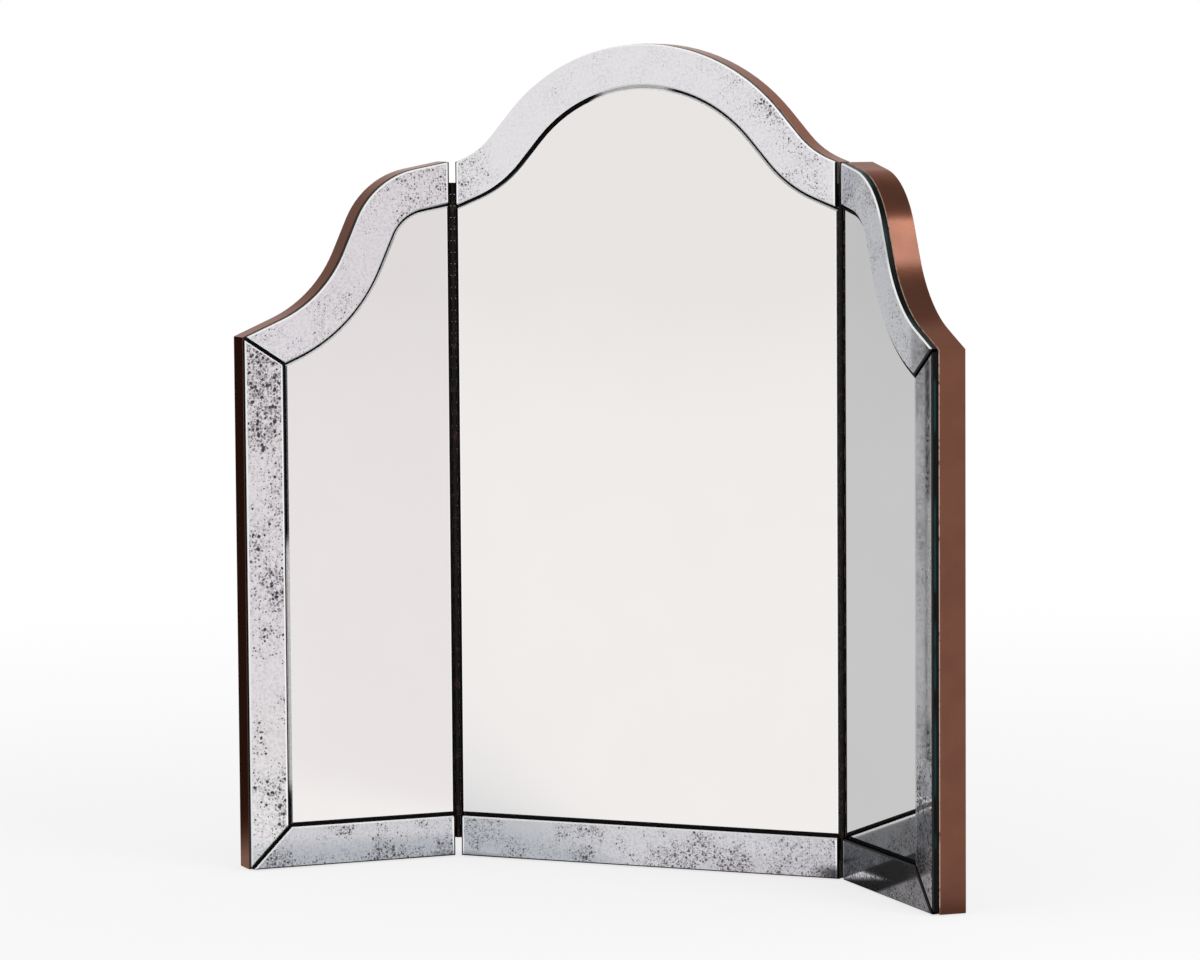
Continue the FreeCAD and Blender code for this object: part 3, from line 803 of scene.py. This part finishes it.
class VANITY_OT_felt(bpy.types.Operator):
    """Cut and lay the felt strips under the panels"""
    bl_idname = "vanity.felt"
    bl_label = "Felt"

    def execute(self, context):
        material, recipe = new_finish("felt")
        fibre = recipe.cloud(0.7 * MM, 4, 1.5)
        recipe.surface({
            "Base Color": recipe.tint(context.scene.vanity.soft.felt, 0.6 + 0.8 * fibre),
            "Roughness": 0.9 + 0.1 * fibre,
            "Sheen Weight": 0.4,
            "Sheen Roughness": 0.5,
            "Normal": recipe.bump(fibre, 0.15 * MM),
        })
        for name, panel in PANELS.items():
            node = name + "_felt_strip"
            piece = bpy.data.objects.new(name + "_felt", felt_mesh(panel, node))
            context.scene.collection.objects.link(piece)
            piece.data.materials.append(material)
            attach(piece, name)
            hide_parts(node)
        return {"FINISHED"}


# ---- Stage ----

FLOOR_REACH = 60.0
FLOOR_FADE = (0.3, 2.5)
FAR_TONE = (1.5, 14.0)
FAR_SHADE = 0.08
# A painted shadow in the corner of the floor in front of the right hinge, which only metal and
# glass show, and a darker painted shadow in it along the centre's foot. CORNER_LINE runs the way
# that the right wing throws the camera's rays, from its outer end, and only the floor behind it
# takes the painted shadow. BESIDE_LINE runs the way that the centre throws them, from its right
# end. Left of it, rays shorter than SHORT_RAY stay bright, because they come from the centre's
# bottom strip.
CORNER = (0.20, -0.08, 0)
CORNER_REACH = (0.20, 0.30)
CORNER_SHADE = 0.66
CORNER_SIDE = (0.388, 0.921, 0)
CORNER_LINE = (-0.034, -0.022)
BESIDE_WING = (1, -0.424, 0)
BESIDE_LINE = (0.165, 0.206)
SHORT_RAY = (0.085, 0.115)
FOOT_LINE = (-0.080, -0.070)
FOOT_SHADE = 0.90
# What two panels reflect one after the other: near the mirror a painted shadow on the floor
# behind TWICE_LINE, and everywhere the tone of the direction that such rays take.
TWICE_LINE = (-0.117, -0.111)
TWICE_REACH = (0.5, 0.8)
TWICE_SHADE = 0.65
TWICE_HEADING = (-0.921, -0.388, 0)
KEY_PLACE = (1.95, -0.85, 1.75)
KEY_SIZE = (1.15, 1.15)
FILL_PLACE = (-2.2, -2.6, 1.7)
FILL_SIZE = (2.2, 2.2)
LIGHT_AIM = Vector((0.1, 0.0, 0.42))
CURTAIN_SIDE = (-0.937, 0.349, 0)
CURTAIN_TONE = (0.03, 0.02, 0.02)
RIGHT_TONE = (0.92, 0.90, 0.915)
LEFT_TONE = (0.72, 0.765, 0.785)


def studio_tone(recipe, direction):
    """What metal and glass see of the studio near the horizon: white in front, a little less
    to the right, a cool grey to the left and a dark curtain at the back left."""
    right = recipe.rise(recipe.along(direction, RIGHT), 0.2, 0.9)
    left = recipe.rise(recipe.along(direction, -RIGHT), 0.45, 0.88)
    low = 1 - recipe.rise(recipe.along(direction, UP), 0.08, 0.25)
    curtain = recipe.rise(recipe.along(direction, CURTAIN_SIDE), 0.78, 0.93) * low
    tone = recipe.mix(right, (1, 1, 1), RIGHT_TONE)
    tone = recipe.mix(left, tone, LEFT_TONE)
    return recipe.mix(curtain, tone, CURTAIN_TONE)


def seen_rays(recipe):
    """1 for the rays that show the background, be it straight, mirrored or through glass, and
    1 for only the straight ones."""
    rays = [recipe.source("ShaderNodeLightPath", "Is %s Ray" % kind)
            for kind in ("Camera", "Glossy", "Transmission")]
    return (rays[0] + rays[1] + rays[2]).at_most(1), rays[0]


def mirrored_floor(recipe, place, distance):
    """What metal and glass see of the floor: the studio's tone in its direction, a little
    darker far away, a painted shadow in the corner between the centre and the right wing, and
    a painted shadow near the mirror where two panels reflect it one after the other."""
    from_corner = recipe.length(recipe.vector("SUBTRACT", place, CORNER))
    beside = recipe.rise(recipe.along(place, BESIDE_WING), *BESIDE_LINE)
    travelled = recipe.rise(recipe.source("ShaderNodeLightPath", "Ray Length"), *SHORT_RAY)
    behind = recipe.rise(recipe.along(place, CORNER_SIDE), *CORNER_LINE)
    corner = (1 - recipe.rise(from_corner, *CORNER_REACH)) * behind * travelled.at_least(beside)
    inward = recipe.along(place, INWARD)
    foot = corner * recipe.rise(inward, *FOOT_LINE)
    second = recipe.rise(recipe.source("ShaderNodeLightPath", "Glossy Depth"), 1.2, 1.8)
    near = 1 - recipe.rise(distance, *TWICE_REACH)
    twice = second * recipe.rise(inward, *TWICE_LINE) * near
    far = 1 - FAR_SHADE * recipe.rise(distance, *FAR_TONE)
    dim = far * (1 - CORNER_SHADE * corner) * (1 - FOOT_SHADE * foot) * (1 - TWICE_SHADE * twice)
    heading = recipe.vector("NORMALIZE", place, (0, 0, 0))
    turn = recipe.tint(recipe.vector("SUBTRACT", TWICE_HEADING, heading), second)
    return recipe.tint(studio_tone(recipe, recipe.vector("ADD", heading, turn)), dim)


def make_floor(context, stage):
    """A wide floor that is white where it is seen and takes the mirror's shadow."""
    mesh = bpy.data.meshes.new("floor")
    reach = FLOOR_REACH
    mesh.from_pydata([(-reach, -reach, 0), (reach, -reach, 0), (reach, reach, 0),
                      (-reach, reach, 0)], [], [(0, 1, 2, 3)])
    floor = bpy.data.objects.new("floor", mesh)
    context.scene.collection.objects.link(floor)
    material, recipe = new_finish("floor")
    seen, straight = seen_rays(recipe)
    place = recipe.place()
    distance = recipe.length(place)
    mirrored = mirrored_floor(recipe, place, distance)
    white = recipe.node("ShaderNodeEmission", None,
                        {"Color": recipe.mix(straight, mirrored, (1, 1, 1))})
    matt = recipe.node("ShaderNodeBsdfDiffuse", None, {"Color": stage.floor})
    plain = (0.75 + 0.25 * recipe.rise(distance, *FLOOR_FADE)).at_least(1 - straight)
    shader = recipe.node("ShaderNodeMixShader", None, {0: plain * seen, 1: matt, 2: white})
    recipe.node("ShaderNodeOutputMaterial", None, {"Surface": shader})
    mesh.materials.append(material)


def make_sky(context, stage):
    """Plain white surroundings that darken overhead where only metal and glass see them."""
    world = bpy.data.worlds.new("studio")
    world.use_nodes = True
    context.scene.world = world
    recipe = Recipe(world.node_tree)
    seen, straight = seen_rays(recipe)
    direction = recipe.source("ShaderNodeTexCoord", "Generated")
    backward = recipe.rise(recipe.along(direction, INWARD), 0.45, 0.75)
    overhead = recipe.rise(recipe.along(direction, UP), 0.15, 0.50) * (1 - 0.7 * backward)
    mirrored = recipe.tint(studio_tone(recipe, direction), 0.92 - 0.56 * overhead)
    shown = recipe.mix(straight, mirrored, (1, 1, 1))
    colour = recipe.mix(seen, (stage.sky,) * 3, shown)
    shader = recipe.node("ShaderNodeBackground", None, {"Color": colour})
    recipe.node("ShaderNodeOutputWorld", None, {"Surface": shader})


def make_lamp(context, name, place, size, power, mirrored):
    """A soft rectangular lamp that shines at the mirror and may show in metal and glass."""
    lamp = bpy.data.lights.new(name, "AREA")
    lamp.shape = "RECTANGLE"
    lamp.size, lamp.size_y = size
    lamp.energy = power
    holder = bpy.data.objects.new(name, lamp)
    context.scene.collection.objects.link(holder)
    holder.visible_glossy = mirrored
    holder.location = place
    holder.rotation_euler = (LIGHT_AIM - Vector(place)).to_track_quat("-Z", "Y").to_euler()


def make_camera(context, stage):
    """The camera, from where it stands and how it is turned."""
    camera = bpy.data.cameras.new("camera")
    camera.sensor_width = 36
    camera.lens = stage.lens
    holder = bpy.data.objects.new("camera", camera)
    context.scene.collection.objects.link(holder)
    level = Vector((math.cos(stage.yaw), math.sin(stage.yaw), 0))
    ahead = Vector((-math.sin(stage.yaw), math.cos(stage.yaw), 0)) * math.cos(stage.pitch)
    ahead.z = math.sin(stage.pitch)
    upright = level.cross(ahead)
    right = level * math.cos(stage.roll) + upright * math.sin(stage.roll)
    up = upright * math.cos(stage.roll) - level * math.sin(stage.roll)
    turned = Matrix((right, up, -ahead)).transposed()
    holder.matrix_world = Matrix.Translation(Vector(stage.camera)) @ turned.to_4x4()
    context.scene.camera = holder


class VANITY_OT_stage(bpy.types.Operator):
    """Set up the floor, the light and the camera"""
    bl_idname = "vanity.stage"
    bl_label = "Stage"

    def execute(self, context):
        stage = context.scene.vanity.stage
        make_floor(context, stage)
        make_sky(context, stage)
        make_lamp(context, "key", KEY_PLACE, KEY_SIZE, stage.key, True)
        make_lamp(context, "fill", FILL_PLACE, FILL_SIZE, stage.fill, False)
        make_camera(context, stage)
        context.scene.view_settings.view_transform = "Standard"
        return {"FINISHED"}


OPERATORS = (
    VANITY_OT_clear_glass,
    VANITY_OT_antiqued_glass,
    VANITY_OT_edge_bands,
    VANITY_OT_boards,
    VANITY_OT_back_covers,
    VANITY_OT_hinges,
    VANITY_OT_screws,
    VANITY_OT_mastic,
    VANITY_OT_felt,
    VANITY_OT_stage,
)


class VANITY_PT_sidebar(bpy.types.Panel):
    """Lists the steps that finish the vanity mirror"""
    bl_idname = "VANITY_PT_sidebar"
    bl_label = "Vanity Mirror"
    bl_space_type = "VIEW_3D"
    bl_region_type = "UI"
    bl_category = "Vanity Mirror"

    def draw(self, context):
        for operator in OPERATORS:
            self.layout.operator(operator.bl_idname)


CLASSES = (StripSettings, GlassSettings, CaseSettings, MetalSettings, SoftSettings,
           StageSettings, MirrorSettings, *OPERATORS, VANITY_PT_sidebar)


def register():
    for kind in CLASSES:
        bpy.utils.register_class(kind)
    bpy.types.Scene.vanity = group_setting(MirrorSettings, "Vanity mirror",
                                           "Settings of the vanity mirror")


def unregister():
    del bpy.types.Scene.vanity
    for kind in reversed(CLASSES):
        bpy.utils.unregister_class(kind)


def set_strips(glass):
    """Gives the side and bottom strips an antiquing that differs from the top strips'."""
    glass.side.silver = (0.80, 0.78, 0.79)
    glass.side.cover = 0.52
    glass.side.clump = 3.9 * MM
    glass.side.depth = 0.95
    glass.bottom.silver = (0.64, 0.63, 0.66)
    glass.bottom.cover = 0.70
    glass.bottom.clump = 2.8 * MM
    glass.bottom.depth = 0.85


def main():
    register()
    set_strips(bpy.context.scene.vanity.glass)
    for operator in OPERATORS:
        group, name = operator.bl_idname.split(".")
        getattr(getattr(bpy.ops, group), name)()


if __name__ == "__main__":
    main()
